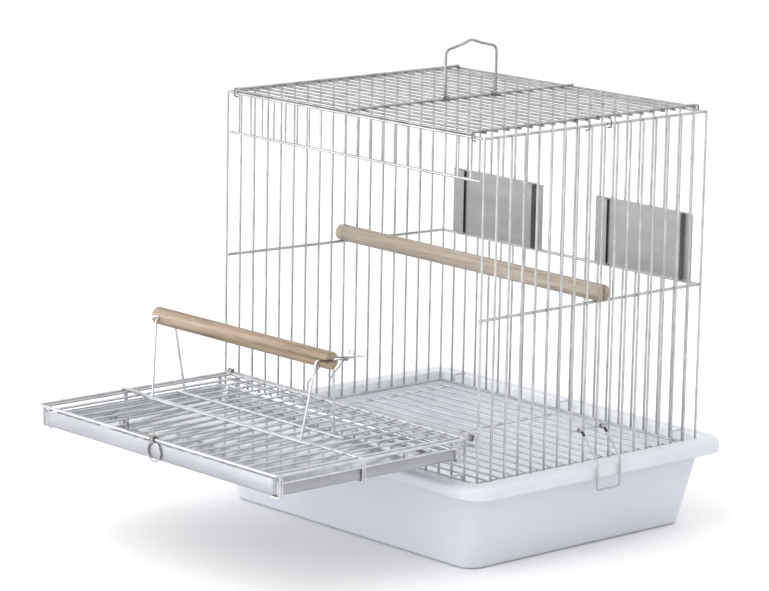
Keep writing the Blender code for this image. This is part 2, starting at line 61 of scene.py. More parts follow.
def make_camera():
    back = Vector((
        math.sin(CAM_AZ) * math.cos(CAM_EL),
        -math.cos(CAM_AZ) * math.cos(CAM_EL),
        math.sin(CAM_EL),
    ))
    right = Vector((math.cos(CAM_AZ), math.sin(CAM_AZ), 0.0))
    up = back.cross(right)
    turned_right = right * math.cos(CAM_ROLL) + up * math.sin(CAM_ROLL)
    turned_up = up * math.cos(CAM_ROLL) - right * math.sin(CAM_ROLL)
    data = bpy.data.cameras.new("camera")
    data.lens = CAM_LENS
    data.sensor_width = CAM_SENSOR
    data.sensor_fit = "HORIZONTAL"
    data.clip_end = CAM_CLIP_END
    data.dof.use_dof = False
    camera = bpy.data.objects.new("camera", data)
    bpy.context.scene.collection.objects.link(camera)
    place = Matrix((turned_right, turned_up, back)).transposed().to_4x4()
    place.translation = Vector(CAM_POS)
    camera.matrix_world = place
    bpy.context.scene.camera = camera


make_camera()


# ---- places from the CAD part, in millimetres ---------------------------------
def box(node):
    low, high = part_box(node)
    return low / MM, high / MM


JOINTS = {joint["name"]: joint for joint in frame["record"]["behaviour"]["joints"]}


def joint_at(name):
    return Vector(JOINTS[name]["pos_m"]) / MM


THIN = 0.9  # half thickness of an upright in the CAD part
THICK = 1.2  # half thickness of a rail in the CAD part
WIRE_R = 1.04  # radius of an upright as it is shown
RAIL_R = 1.3  # radius of a rail as it is shown
GAP = 0.3
BITE = 0.5
GAPS_X = 21
GAPS_Y = 17
GAPS_TOP = 20

RIGHT = box("wall_right")
HALF_D = RIGHT[1].y - THIN
RAIL_IN = THIN + THICK - BITE
HALF_W = RIGHT[0].x + RAIL_IN + THICK
Z_FOOT = RIGHT[0].z
Z_WALL_TOP = RIGHT[1].z
Z_LOW_RAIL = Z_FOOT + THICK
Z_TOP_RAIL = Z_WALL_TOP - THICK
Z_MID_RAIL = box("wall_back_lower")[1].z - THICK
Z_HINGE = joint_at("door_hinge").z
Z_BAND_RAIL = Z_HINGE - 6.5  # the front band's lower rail, level with the door's guide wire
Z_HEAD_RAIL = box("header_band")[0].z + THICK
PITCH_X = 2 * HALF_W / GAPS_X
PITCH_Y = 2 * HALF_D / GAPS_Y
PITCH_TOP = 2 * HALF_D / GAPS_TOP
MID_RISE = 6.0  # how far the left wall's middle rail climbs towards the front
SIDE_RAIL_X = HALF_W - RAIL_IN
BACK_RAIL_Y = HALF_D - RAIL_IN
CROSS_X = SIDE_RAIL_X - THICK - GAP
Z_TOP_RIB = joint_at("handle_hinge").z
Z_TOP_WIRE = Z_WALL_TOP + GAP + THIN
Z_FEED_TOP = 275.0
FEED_FIRST = 2  # the first upright, from either end, that stops at a feeder opening
FEED_CUT = 6  # how many uprights an opening cuts
FEED_CENTRE = GAPS_X / 2 - FEED_FIRST - (FEED_CUT - 1) / 2  # an opening's middle, in gaps
FEED_HALF = (FEED_CUT + 1) / 2  # half an opening's width, in gaps
PERCH_R = 7.5
PERCH_NOTCH = 1.5  # depth of the notch over the walls' middle rails
PERCH_OVER = 4.5  # how far the inside perch reaches past the side walls' wires
PERCH_ROW = 9  # the side walls' upright that the inside perch sits on
SLOT_DEEP = 12.0  # the saw cut across each end of a perch
SLOT_HALF = 1.5
COIL_STEPS = 14  # points in one turn of a coil


def wire_x(i):
    return -HALF_W + i * PITCH_X


def wire_y(j):
    return -HALF_D + j * PITCH_Y


def mid_rise(side, y):
    """How far the middle rail of a side wall stands above the back wall's at y."""
    return MID_RISE * (HALF_D - y) / (2 * HALF_D) if side < 0 else 0.0


# ---- mesh tools ---------------------------------------------------------------
def circle(centre, side, up, radius, sides):
    points = []
    for k in range(sides):
        angle = 2 * math.pi * k / sides
        points.append(centre + side * (radius * math.cos(angle)) + up * (radius * math.sin(angle)))
    return points


def add_loops(bm, loops, cyclic=False):
    """Skins loops with equal point counts; the ends are capped unless cyclic."""
    rings = [[bm.verts.new(p) for p in loop] for loop in loops]
    count = len(rings[0])
    last = len(rings) if cyclic else len(rings) - 1
    for a in range(last):
        low = rings[a]
        high = rings[(a + 1) % len(rings)]
        for i in range(count):
            j = (i + 1) % count
            bm.faces.new((low[i], low[j], high[j], high[i]))
    if not cyclic:
        bm.faces.new(list(reversed(rings[0])))
        bm.faces.new(rings[-1])


def rounded_path(path, bend, steps=5):
    """The polyline with each corner replaced by an arc that starts bend before it."""
    points = [Vector(p) for p in path]
    out = [points[0]]
    for a, b, c in zip(points, points[1:], points[2:]):
        room = min(bend, (a - b).length * 0.48, (c - b).length * 0.48)
        p = b + (a - b).normalized() * room
        q = b + (c - b).normalized() * room
        for k in range(steps + 1):
            t = k / steps
            out.append(p * (1 - t) ** 2 + b * (2 * t * (1 - t)) + q * t ** 2)
    out.append(points[-1])
    return out


def add_wire(bm, path, radius, sides=8, bend=0.0):
    """A round wire along a path, with slightly domed ends."""
    points = rounded_path(path, bend) if bend else [Vector(p) for p in path]
    steps = [(b - a).normalized() for a, b in zip(points, points[1:])]
    side = steps[0].orthogonal().normalized()
    tip = radius * 0.6
    ease = radius * 0.45
    loops = [circle(points[0], side, steps[0].cross(side), tip, sides)]
    for i, point in enumerate(points):
        before = steps[max(i - 1, 0)]
        after = steps[min(i, len(steps) - 1)]
        mean = (before + after).normalized()
        side = (side - mean * side.dot(mean)).normalized()
        up = mean.cross(side)
        at = point
        if i == 0:
            at = point + after * ease
        if i == len(points) - 1:
            at = point - before * ease
        loops.append(circle(at, side, up, radius, sides))
    loops.append(circle(points[-1], side, steps[-1].cross(side), tip, sides))
    add_loops(bm, loops)


def add_ring(bm, centre, side, up, radius, wire, steps=32, sides=10):
    side = Vector(side)
    up = Vector(up)
    axis = side.cross(up)
    loops = []
    for k in range(steps):
        angle = 2 * math.pi * k / steps
        out = side * math.cos(angle) + up * math.sin(angle)
        loops.append(circle(Vector(centre) + out * radius, out, axis, wire, sides))
    add_loops(bm, loops, cyclic=True)


def add_coil(bm, centre, axis, radius, wire, turns, pitch):
    """Wire wound round an axis, as at a hinge."""
    axis = Vector(axis).normalized()
    side = axis.orthogonal().normalized()
    up = axis.cross(side)
    path = []
    for k in range(int(turns * COIL_STEPS) + 1):
        angle = 2 * math.pi * k / COIL_STEPS
        along = (k / COIL_STEPS - turns / 2) * pitch
        out = side * (radius * math.cos(angle)) + up * (radius * math.sin(angle))
        path.append(Vector(centre) + axis * along + out)
    add_wire(bm, path, wire)


def add_box(bm, x, y, z):
    corners = [(a, b, c) for a in x for b in y for c in z]
    verts = [bm.verts.new(corner) for corner in corners]
    for face in ((0, 1, 3, 2), (4, 6, 7, 5), (0, 4, 5, 1), (2, 3, 7, 6), (0, 2, 6, 4), (1, 5, 7, 3)):
        bm.faces.new([verts[i] for i in face])


def rounded(half_x, half_y, radius, z, centre=(0.0, 0.0), steps=14):
    """A rectangle with round corners at height z."""
    points = []
    for corner in range(4):
        sx = 1 if corner in (0, 3) else -1
        sy = 1 if corner in (0, 1) else -1
        cx = centre[0] + sx * (half_x - radius)
        cy = centre[1] + sy * (half_y - radius)
        for k in range(steps + 1):
            angle = math.pi / 2 * (corner + k / steps)
            points.append(Vector((cx + radius * math.cos(angle), cy + radius * math.sin(angle), z)))
    return points


def link(name, bm, material, sharp=40.0):
    bmesh.ops.recalc_face_normals(bm, faces=bm.faces)
    for vert in bm.verts:
        vert.co *= MM
    mesh = bpy.data.meshes.new(name)
    bm.to_mesh(mesh)
    bm.free()
    mesh.materials.append(material)
    mesh.shade_smooth()
    mesh.set_sharp_from_angle(angle=math.radians(sharp))
    obj = bpy.data.objects.new(name, mesh)
    bpy.context.scene.collection.objects.link(obj)
    return obj


def piece(name, bm, material, body, nodes=(), sharp=40.0):
    """Links a visual piece, lets it ride its body and stand for its CAD nodes."""
    obj = link(name, bm, material, sharp)
    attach(obj, body)
    if nodes:
        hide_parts(*nodes)
    return obj


# ---- materials ----------------------------------------------------------------
def new_material(name):
    material = bpy.data.materials.new(name)
    material.use_nodes = True
    return material, material.node_tree, material.node_tree.nodes["Principled BSDF"]


def add_noise(tree, scale, detail=4.0, stretch=(1.0, 1.0, 1.0), rough=0.6):
    """A cloud in the object's own space, its scale per metre."""
    coords = tree.nodes.new("ShaderNodeTexCoord")
    mapping = tree.nodes.new("ShaderNodeMapping")
    mapping.inputs["Scale"].default_value = stretch
    noise = tree.nodes.new("ShaderNodeTexNoise")
    noise.inputs["Scale"].default_value = scale
    noise.inputs["Detail"].default_value = detail
    noise.inputs["Roughness"].default_value = rough
    tree.links.new(coords.outputs["Object"], mapping.inputs["Vector"])
    tree.links.new(mapping.outputs["Vector"], noise.inputs["Vector"])
    return noise


def add_ramp(tree, source, stops):
    ramp = tree.nodes.new("ShaderNodeValToRGB")
    tree.links.new(source, ramp.inputs["Fac"])
    while len(ramp.color_ramp.elements) < len(stops):
        ramp.color_ramp.elements.new(0.5)
    for element, (position, colour) in zip(ramp.color_ramp.elements, stops):
        element.position = position
        element.color = (*colour, 1.0)
    return ramp


def add_bump(tree, shader, source, strength, distance):
    """Turns a value into relief, distance metres deep."""
    bump = tree.nodes.new("ShaderNodeBump")
    bump.inputs["Strength"].default_value = strength
    bump.inputs["Distance"].default_value = distance
    tree.links.new(source, bump.inputs["Height"])
    tree.links.new(bump.outputs["Normal"], shader.inputs["Normal"])


def add_range(tree, source, low, high):
    """Spreads a 0 to 1 value over low to high."""
    node = tree.nodes.new("ShaderNodeMapRange")
    node.inputs["To Min"].default_value = low
    node.inputs["To Max"].default_value = high
    tree.links.new(source, node.inputs["Value"])
    return node


def metal(name, dark, light, rough_low, rough_high, scale, stretch=(1.0, 1.0, 1.0), bump=0.15):
    """Plated metal, its tone and roughness varied by a stretched cloud."""
    material, tree, shader = new_material(name)
    noise = add_noise(tree, scale, 5.0, stretch)
    ramp = add_ramp(tree, noise.outputs["Fac"], ((0.35, dark), (0.65, light)))
    tree.links.new(ramp.outputs["Color"], shader.inputs["Base Color"])
    rough = add_range(tree, noise.outputs["Fac"], rough_low, rough_high)
    tree.links.new(rough.outputs["Result"], shader.inputs["Roughness"])
    shader.inputs["Metallic"].default_value = 1.0
    fine = add_noise(tree, scale * 9.0, 3.0, stretch)
    add_bump(tree, shader, fine.outputs["Fac"], bump, 0.0002)
    return material


def plastic(name, low, high):
    """Moulded plastic with a faint grain."""
    material, tree, shader = new_material(name)
    cloud = add_noise(tree, 6.0, 3.0)
    ramp = add_ramp(tree, cloud.outputs["Fac"], ((0.3, low), (0.7, high)))
    tree.links.new(ramp.outputs["Color"], shader.inputs["Base Color"])
    grain = add_noise(tree, 900.0, 2.0)
    rough = add_range(tree, grain.outputs["Fac"], 0.28, 0.42)
    tree.links.new(rough.outputs["Result"], shader.inputs["Roughness"])
    shader.inputs["Specular IOR Level"].default_value = 0.45
    add_bump(tree, shader, grain.outputs["Fac"], 0.10, 0.0002)
    return material


def wood(name, dark, mid, light):
    """Long grain along X with darker growth lines and pores."""
    material, tree, shader = new_material(name)
    rings = add_noise(tree, 150.0, 6.0, (0.05, 1.0, 1.0), 0.65)
    ramp = add_ramp(tree, rings.outputs["Fac"], ((0.30, dark), (0.48, mid), (0.70, light)))
    pores = add_noise(tree, 900.0, 3.0, (0.03, 1.0, 1.0))
    pore_stops = ((0.34, (0.62, 0.56, 0.50)), (0.45, (1.0, 1.0, 1.0)))
    pore_ramp = add_ramp(tree, pores.outputs["Fac"], pore_stops)
    mix = tree.nodes.new("ShaderNodeMix")
    mix.data_type = "RGBA"
    mix.blend_type = "MULTIPLY"
    mix.inputs["Factor"].default_value = 0.6
    tree.links.new(ramp.outputs["Color"], mix.inputs[6])
    tree.links.new(pore_ramp.outputs["Color"], mix.inputs[7])
    tree.links.new(mix.outputs[2], shader.inputs["Base Color"])
    shader.inputs["Roughness"].default_value = 0.62
    add_bump(tree, shader, pores.outputs["Fac"], 0.35, 0.0005)
    return material


def rubber(name, dark, light):
    material, tree, shader = new_material(name)
    noise = add_noise(tree, 300.0)
    ramp = add_ramp(tree, noise.outputs["Fac"], ((0.3, dark), (0.7, light)))
    tree.links.new(ramp.outputs["Color"], shader.inputs["Base Color"])
    shader.inputs["Roughness"].default_value = 0.5
    return material


WIRE = metal("plated_wire", (0.38, 0.385, 0.395), (0.54, 0.545, 0.555), 0.30, 0.40, 70.0)
# painted light: a lighter copy of the plated wire, for the floor grating, door, brackets and perch
# stand
WIRE_PAINTED_LIGHT = metal("plated_wire_painted_light", (0.50, 0.51, 0.53), (0.66, 0.67, 0.69), 0.32, 0.46, 70.0)
# painted shade: a darker copy of the plated wire, for the top panel and the handle
WIRE_PAINTED_SHADE = metal("plated_wire_painted_shade", (0.26, 0.265, 0.27), (0.42, 0.425, 0.43), 0.26, 0.42, 70.0)
KNOT = metal("hinge_wire", (0.16, 0.16, 0.16), (0.40, 0.40, 0.39), 0.30, 0.50, 120.0)
PAN = metal(
    "pan_sheet", (0.58, 0.60, 0.62), (0.68, 0.70, 0.72), 0.05, 0.10,
    12.0, (1.0, 6.0, 1.0), 0.03,
)
# painted shade: a darker copy of the pan sheet for the pan's front wall and its left and right walls
PAN_FACE_PAINTED_SHADE = metal(
    "pan_front_painted_shade", (0.35, 0.355, 0.385), (0.42, 0.425, 0.455), 0.48, 0.58,
    14.0, (1.0, 1.0, 5.0), 0.10,
)
PLATE = metal(
    "feeder_sheet", (0.27, 0.27, 0.27), (0.335, 0.335, 0.335), 0.38, 0.50,
    12.0, (1.0, 1.0, 5.0), 0.06,
)
TRAY = plastic("tray_plastic", (0.590, 0.605, 0.665), (0.630, 0.645, 0.700))
# painted light: a lighter copy of the tray plastic for the tray's floor and inward faces, standing
# in for light inside the tray
TRAY_INSIDE_PAINTED_LIGHT = plastic("tray_plastic_inside_painted_light", (0.80, 0.815, 0.86), (0.84, 0.855, 0.90))
PERCH_WOOD = wood("stage_wood", (0.16, 0.11, 0.07), (0.30, 0.225, 0.16), (0.42, 0.33, 0.25))
INNER_WOOD = wood("perch_wood", (0.21, 0.17, 0.13), (0.33, 0.28, 0.22), (0.43, 0.38, 0.31))
RUBBER = rubber("black_sleeve", (0.015, 0.015, 0.016), (0.035, 0.035, 0.037))


# ---- tray ---------------------------------------------------------------------
TRAY_SHEET = 2.2
TRAY_WALL = (172.0, 140.5, 14.0)  # half lengths and corner radius at the top
TRAY_FOOT = (157.0, 130.0, 16.0)
TRAY_RIM_R = 24.0
TRAY_EASE = 3.6  # height of the rounded foot, where the wall starts
LIP_DROP = 11.5


def outline_loop(outline, inset, z):
    return rounded(outline[0] - inset, outline[1] - inset, outline[2] - inset, z)


def wall_loop(share, inset, top):
    """The tray's wall at a share of the way from its foot to under its rim."""
    mix = [f + (w - f) * share for f, w in zip(TRAY_FOOT, TRAY_WALL)]
    return outline_loop(mix, inset, TRAY_EASE + (top - TRAY_SHEET - TRAY_EASE) * share)


def make_tray():
    """A deep tray with sloping walls and a broad rounded rim that turns down as a lip."""
    high = box("base_tray")[1]
    top = high.z
    lip = top - LIP_DROP
    under = top - TRAY_SHEET
    rim = (high.x, high.y, TRAY_RIM_R)
    opening = [length - TRAY_SHEET - 1.0 for length in TRAY_WALL]
    loops = [outline_loop(TRAY_FOOT, inset, z) for inset, z in (
        (6.5, 0.0), (2.5, 0.25), (0.9, 1.2), (0.0, TRAY_EASE),
    )]
    loops += [wall_loop(share, 0.0, top) for share in (0.25, 0.5, 0.75, 0.93)]
    loops += [outline_loop(TRAY_WALL, -0.6, under - 0.8), outline_loop(TRAY_WALL, -1.8, under)]
    loops += [outline_loop(rim, inset, z) for inset, z in (
        (TRAY_SHEET + 1.2, under), (TRAY_SHEET + 0.2, under - 1.0),
        (TRAY_SHEET, lip + 0.8), (TRAY_SHEET - 0.5, lip + 0.1), (0.9, lip),
        (0.1, lip + 0.5), (0.0, lip + 1.3), (0.0, top - 4.6),
        (0.5, top - 2.6), (1.6, top - 1.1), (3.2, top - 0.25), (5.0, top),
    )]
    loops += [outline_loop(opening, inset, z) for inset, z in (
        (-1.6, top), (-0.5, top - 0.4), (0.0, top - 1.5),
    )]
    loops += [wall_loop(share, TRAY_SHEET + 0.3, top) for share in (0.9, 0.5, 0.1)]
    loops += [outline_loop(TRAY_FOOT, inset, z) for inset, z in (
        (TRAY_SHEET + 1.0, 4.4), (TRAY_SHEET + 3.4, 2.9), (TRAY_SHEET + 6.5, TRAY_SHEET),
    )]
    bm = bmesh.new()
    add_loops(bm, loops)
    obj = piece("base_tray_shell", bm, TRAY, "tray", ("base_tray",), 60.0)
    obj.data.materials.append(TRAY_INSIDE_PAINTED_LIGHT)
    # painted light: the floor and the inward-facing walls take the lighter inside copy of the
    # plastic
    for face in obj.data.polygons:
        x, y, z = face.center / MM
        outward = face.normal.x * face.center.x + face.normal.y * face.center.y
        floor = face.normal.z > 0.9 and z < 10.0
        within = abs(x) < TRAY_WALL[0] and abs(y) < TRAY_WALL[1]
        if floor or (outward < -0.01 and within):
            face.material_index = 1


# ---- cage body ------------------------------------------------------------------
GRATE_HALF_X = 149.0
GRATE_BEND = 1.8
GRATE_CROSS = 9  # gaps from the middle cross wire to the outer ones
TOP_RIB_X = 149.5
HOOK_R = 0.7
HOOK_BEND = 1.6
CORNER_HOOK_X = 152.6
SIDE_HOOK_Y = 13.0
LATCH_BAR_R = 0.8
BEVEL_GUIDE = 0.00012  # metres
BEVEL_PLATE = 0.00015  # metres


def add_upright(bm, x, y, z0, z1):
    add_wire(bm, ((x, y, z0), (x, y, z1)), WIRE_R, 10)


def add_rail_x(bm, x0, x1, y, z):
    add_wire(bm, ((x0, y, z), (x1, y, z)), RAIL_R, 12)


def make_grating():
    high = box("floor_grating")[1]
    z = Z_FOOT + THIN
    cross_z = z - 2 * THIN + BITE
    arm_z = high.z - THIN
    post_y = HALF_D - 2 * RAIL_IN - THICK - GAP
    bm = bmesh.new()
    for j in range(1, GAPS_Y):
        add_wire(bm, ((-GRATE_HALF_X, wire_y(j), z), (GRATE_HALF_X, wire_y(j), z)), WIRE_R, 10)
    for x in (-GRATE_CROSS * PITCH_X, 0.0, GRATE_CROSS * PITCH_X):
        path = (
            (x, -high.y, arm_z), (x, -post_y, arm_z), (x, -post_y, cross_z),
            (x, post_y, cross_z), (x, post_y, arm_z), (x, high.y, arm_z),
        )
        add_wire(bm, path, THIN, 10, GRATE_BEND)
    piece("floor_grating_wires", bm, WIRE_PAINTED_LIGHT, "cage", ("floor_grating",))


def make_side(name, side):
    bm = bmesh.new()
    for j in range(GAPS_Y + 1):
        add_upright(bm, side * HALF_W, wire_y(j), Z_FOOT, Z_WALL_TOP)
    end = HALF_D + THIN
    rail_x = side * SIDE_RAIL_X
    for z in (Z_LOW_RAIL, Z_TOP_RAIL):
        add_wire(bm, ((rail_x, -end, z), (rail_x, end, z)), RAIL_R, 12)
    low = Z_MID_RAIL + mid_rise(side, end)
    high = Z_MID_RAIL + mid_rise(side, -end)
    add_wire(bm, ((rail_x, -end, high), (rail_x, end, low)), RAIL_R, 12)
    pivot = joint_at("loop_hinge_left" if side < 0 else "loop_hinge_right")
    reach = 1.5 * PITCH_Y + THIN
    add_wire(bm, ((pivot.x, -reach, pivot.z), (pivot.x, reach, pivot.z)), LATCH_BAR_R, 10)
    piece(name + "_wires", bm, WIRE, "cage", (name,))


def feeder_wire(i):
    """True for an upright of the back wall that stops at a feeder opening."""
    last = FEED_FIRST + FEED_CUT
    return FEED_FIRST <= i < last or FEED_FIRST <= GAPS_X - i < last


def make_back():
    bm = bmesh.new()
    for i in range(1, GAPS_X):
        top = Z_MID_RAIL + THICK if feeder_wire(i) else Z_WALL_TOP
        add_upright(bm, wire_x(i), HALF_D, Z_FOOT, top)
    for z in (Z_LOW_RAIL, Z_MID_RAIL):
        add_rail_x(bm, -CROSS_X, CROSS_X, BACK_RAIL_Y, z)
    piece("wall_back_wires", bm, WIRE, "cage", ("wall_back_lower",))
    bm = bmesh.new()
    for i in range(1, GAPS_X):
        if feeder_wire(i):
            add_upright(bm, wire_x(i), HALF_D, Z_FEED_TOP - THICK, Z_WALL_TOP)
    add_rail_x(bm, -CROSS_X, CROSS_X, BACK_RAIL_Y, Z_TOP_RAIL)
    half = FEED_HALF * PITCH_X + THIN
    for side in (-1, 1):
        x = side * FEED_CENTRE * PITCH_X
        add_rail_x(bm, x - half, x + half, BACK_RAIL_Y, Z_FEED_TOP)
    piece("wall_back_window_wires", bm, WIRE, "cage", ("wall_back_upper",))


def make_strip(name, rails, z0, z1):
    bm = bmesh.new()
    for i in range(1, GAPS_X):
        add_upright(bm, wire_x(i), -HALF_D, z0, z1)
    for z in rails:
        add_rail_x(bm, -CROSS_X, CROSS_X, -HALF_D, z)
    piece(name + "_wires", bm, WIRE, "cage", (name,))


def make_top():
    low, high = box("top_panel")
    bm = bmesh.new()
    for j in range(GAPS_TOP + 1):
        y = -HALF_D + j * PITCH_TOP
        add_wire(bm, ((low.x, y, Z_TOP_WIRE), (high.x, y, Z_TOP_WIRE)), WIRE_R, 10)
    for x in (-TOP_RIB_X, 0.0, TOP_RIB_X):
        add_wire(bm, ((x, low.y, Z_TOP_RIB), (x, high.y, Z_TOP_RIB)), RAIL_R, 12)
    piece("top_panel_wires", bm, WIRE_PAINTED_SHADE, "cage", ("top_panel",))
    bm = bmesh.new()
    for sx in (-1, 1):
        for sy in (-1, 1):
            x = sx * CORNER_HOOK_X
            y = sy * HALF_D
            path = (
                (x, y - sy * 9.0, Z_TOP_RIB - 0.4), (x, y + sy * 2.6, Z_TOP_RIB + 0.6),
                (x, y + sy * 2.9, Z_TOP_RAIL - 2.2), (x, y - sy * 2.2, Z_TOP_RAIL - 3.4),
            )
            add_wire(bm, path, HOOK_R, 8, HOOK_BEND)
    for y in (-SIDE_HOOK_Y, SIDE_HOOK_Y):
        path = (
            (GRATE_HALF_X, y, Z_TOP_RIB + 0.8), (HALF_W + 1.6, y, Z_TOP_RIB + 0.6),
            (HALF_W + 1.9, y, Z_TOP_RAIL - 2.5), (HALF_W - 2.5, y, Z_TOP_RAIL - 3.6),
        )
        add_wire(bm, path, HOOK_R, 8, HOOK_BEND)
    piece("top_panel_hooks", bm, KNOT, "cage")


def dress_sheet(name, width):
    """Gives a CAD sheet its finish and soft edges."""
    node = frame["nodes"][name]
    node.data.materials.clear()
    node.data.materials.append(PLATE)
    bevel = node.modifiers.new("soft_edges", "BEVEL")
    bevel.width = width
    bevel.segments = 2


def dress_feeders():
    for word in ("left", "right"):
        for edge in ("outer", "inner"):
            dress_sheet("feeder_guide_" + word + "_" + edge, BEVEL_GUIDE)
        dress_sheet("feeder_plate_" + word, BEVEL_PLATE)


# ---- handle -----------------------------------------------------------------------
HANDLE_Y0 = -2 * PITCH_TOP + 2.8
HANDLE_Y1 = 3 * PITCH_TOP - 2.5
HANDLE_RISE = 43.0  # from the pivot to the shoulders
HANDLE_BEND = 6.0
EYE_SHIFT = 2.0  # the eyes stand this far inside the legs


def make_handle():
    peak = box("handle")[1].z - THICK
    pivot = joint_at("handle_hinge")
    foot = pivot.z + 1.8
    rise = pivot.z + HANDLE_RISE
    middle = (HANDLE_Y0 + HANDLE_Y1) / 2
    path = [
        (0, HANDLE_Y0, foot), (0, HANDLE_Y0, rise - 3), (0, HANDLE_Y0 + 3, rise),
        (0, middle - 9, rise + 4), (0, middle, peak), (0, middle + 9, rise + 4),
        (0, HANDLE_Y1 - 3, rise), (0, HANDLE_Y1, rise - 3), (0, HANDLE_Y1, foot),
    ]
    bm = bmesh.new()
    add_wire(bm, path, THICK, 14, HANDLE_BEND)
    piece("handle_bail", bm, WIRE_PAINTED_SHADE, "handle", ("handle",))
    bm = bmesh.new()
    for y in (HANDLE_Y0 + EYE_SHIFT, HANDLE_Y1 - EYE_SHIFT):
        add_coil(bm, (0, y, pivot.z), (0, 1, 0), THICK + 0.95, 0.75, 3.4, 1.5)
    piece("handle_coils", bm, KNOT, "handle")


# ---- stage door ---------------------------------------------------------------------
DOOR_X = 157.0
DOOR_START = -HALF_D - 2.7
DOOR_Y0 = -HALF_D - 6.0
DOOR_Y1 = joint_at("latch_hinge").y
CROSS_Y = -250.0
GUIDE_Y0 = -HALF_D - THICK - GAP - THIN
GUIDE_FRONT = DOOR_Y1 + 7.0
CORNER_BEND = 3.0
BRACKET_YS = (-HALF_D - 13.0, CROSS_Y, DOOR_Y1 + 5.0)
BRACKET_HALF = 1.1
BRACKET_FOOT = 10.0
BRACKET_BEND = 2.4
CATCH_X = -35.0
CATCH_RISE = 13.0
PAN_RIM = 106.9  # top of the pan's low walls
PAN_R = 10.0
TIN = 1.0  # thickness of the pan's sheet


def make_door():
    z = Z_HINGE
    bm = bmesh.new()
    path = (
        (-DOOR_X, DOOR_START, z), (-DOOR_X, DOOR_Y1, z),
        (DOOR_X, DOOR_Y1, z), (DOOR_X, DOOR_START, z),
    )
    add_wire(bm, path, RAIL_R, 12, CORNER_BEND)
    for y in (CROSS_Y, DOOR_Y0):
        add_rail_x(bm, -DOOR_X, DOOR_X, y, z)
    for i in range(1, GAPS_X):
        add_wire(bm, ((wire_x(i), DOOR_Y1, z + 0.1), (wire_x(i), DOOR_Y0, z + 0.1)), WIRE_R, 10)
    piece("door_wires", bm, WIRE_PAINTED_LIGHT, "door", ("door_grid",))


def make_brackets():
    """The guide wire round the pan, and the doubled hooks that reach under it."""
    bm = bmesh.new()
    z = Z_BAND_RAIL
    path = (
        (-DOOR_X, GUIDE_FRONT, z), (-DOOR_X, GUIDE_Y0, z),
        (DOOR_X, GUIDE_Y0, z), (DOOR_X, GUIDE_FRONT, z),
    )
    add_wire(bm, path, WIRE_R, 10, CORNER_BEND)
    foot_z = box("door_grid")[0].z + THIN
    for side in (-1, 1):
        x = side * DOOR_X
        inner = side * (DOOR_X - BRACKET_FOOT)
        for y in BRACKET_YS:
            for off in (-BRACKET_HALF, BRACKET_HALF):
                path = ((x, y + off, Z_HINGE), (x, y + off, foot_z), (inner, y + off, foot_z))
                add_wire(bm, path, THIN, 10, BRACKET_BEND)
            path = ((inner, y - BRACKET_HALF, foot_z), (inner, y + BRACKET_HALF, foot_z))
            add_wire(bm, path, WIRE_R, 10)
    piece("door_brackets", bm, WIRE_PAINTED_LIGHT, "door")


def make_knots():
    """The catch upright, the wire bound beside it, and the coils at the door's hinge."""
    bm = bmesh.new()
    z = Z_HINGE
    add_upright(bm, CATCH_X, DOOR_Y1, z - 1.0, z + CATCH_RISE)
    y = DOOR_Y1 - 0.4
    add_wire(bm, ((CATCH_X - 2.0, y, z + 1.7), (-4.0, y, z + 1.9)), HOOK_R, 8)
    for side in (-1, 1):
        add_coil(bm, (side * DOOR_X, -HALF_D, z), (1, 0, 0), THICK + 1.1, 0.85, 2.6, 1.8)
    piece("door_knots", bm, KNOT, "door")


def make_pan():
    """A shallow pan whose front wall stands taller than the others."""
    low, high = box("stage_pan")
    half_y = (high.y - low.y) / 2
    centre = (0.0, (low.y + high.y) / 2)
    ramp = low.y + PAN_R

    def loop(inset, rise):
        return rounded(high.x - inset, half_y - inset, PAN_R - inset, low.z + rise, centre)

    def rim(inset, drop=0.0):
        points = rounded(high.x - inset, half_y - inset, PAN_R - inset, PAN_RIM, centre)
        for outer, point in zip(loop(0.0, 0.0), points):
            share = min(max((ramp - outer.y) / PAN_R, 0.0), 1.0)
            point.z += share * (high.z - PAN_RIM) - drop
        return points

    bm = bmesh.new()
    add_loops(bm, [
        loop(2.4, 0.0), loop(0.8, 0.5), loop(0.15, 1.3), loop(0.0, 2.2),
        rim(0.0, 0.5), rim(0.25), rim(TIN - 0.25), rim(TIN, 0.5),
        loop(TIN, 3.0), loop(TIN + 0.3, 1.9), loop(TIN + 1.0, 1.25), loop(TIN + 2.2, TIN),
    ])
    obj = piece("stage_pan_sheet", bm, PAN, "door", ("stage_pan",), 50.0)
    obj.data.materials.append(PAN_FACE_PAINTED_SHADE)
    # painted shade: the upright faces of the front wall and of the left and right walls take the
    # darker copy
    for face in obj.data.polygons:
        x, y = face.center.xy / MM
        upright = abs(face.normal.y) > 0.5 or abs(face.normal.x) > 0.5
        front = face.normal.y < -0.3 and y < low.y + 3.0
        if upright and (front or abs(x) > high.x - 0.5):
            face.material_index = 1


# ---- perches ------------------------------------------------------------------------
STAND_R = 1.1
STAND_TOP = 186.4
STAND_Y = -241.0
STAND_SPREAD = 9.5
STAND_FRONT = -259.0
STAND_BACK = -223.0
STAND_LEFT = -114.0
STAND_RIGHT = 96.5
STAND_BEND = 4.0
STICK_SIDES = 48


